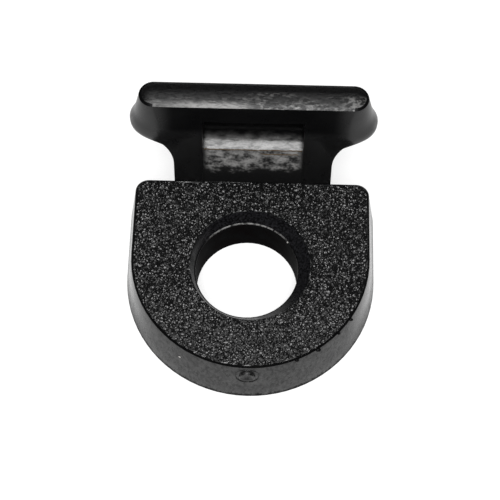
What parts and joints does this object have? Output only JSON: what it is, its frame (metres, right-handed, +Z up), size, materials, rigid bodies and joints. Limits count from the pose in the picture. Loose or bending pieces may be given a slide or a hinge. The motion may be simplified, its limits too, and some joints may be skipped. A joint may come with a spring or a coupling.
{
  "type": "cable tie mount",
  "caption": "Screw-down cable tie mount: a D-shaped base plate with a screw hole, and a winged saddle bar over a channel for a cable tie.",
  "frame": {"origin": "on the screw hole's axis, in the plane of the flat mounting face", "axes": "+Z up along the screw hole, away from the mounting face; +Y from the hole towards the saddle; X across the part, whose middle line is at X = 0.17 mm because the hole sits a little to the left of it"},
  "size_m": [0.0129, 0.0158, 0.008],
  "materials": {
    "black_nylon": "spark-eroded grain on the plate's top face, smooth satin on the walls and the saddle"
  },
  "bodies": {
    "root": {"mount_body": "black_nylon"}
  },
  "joints": []
}
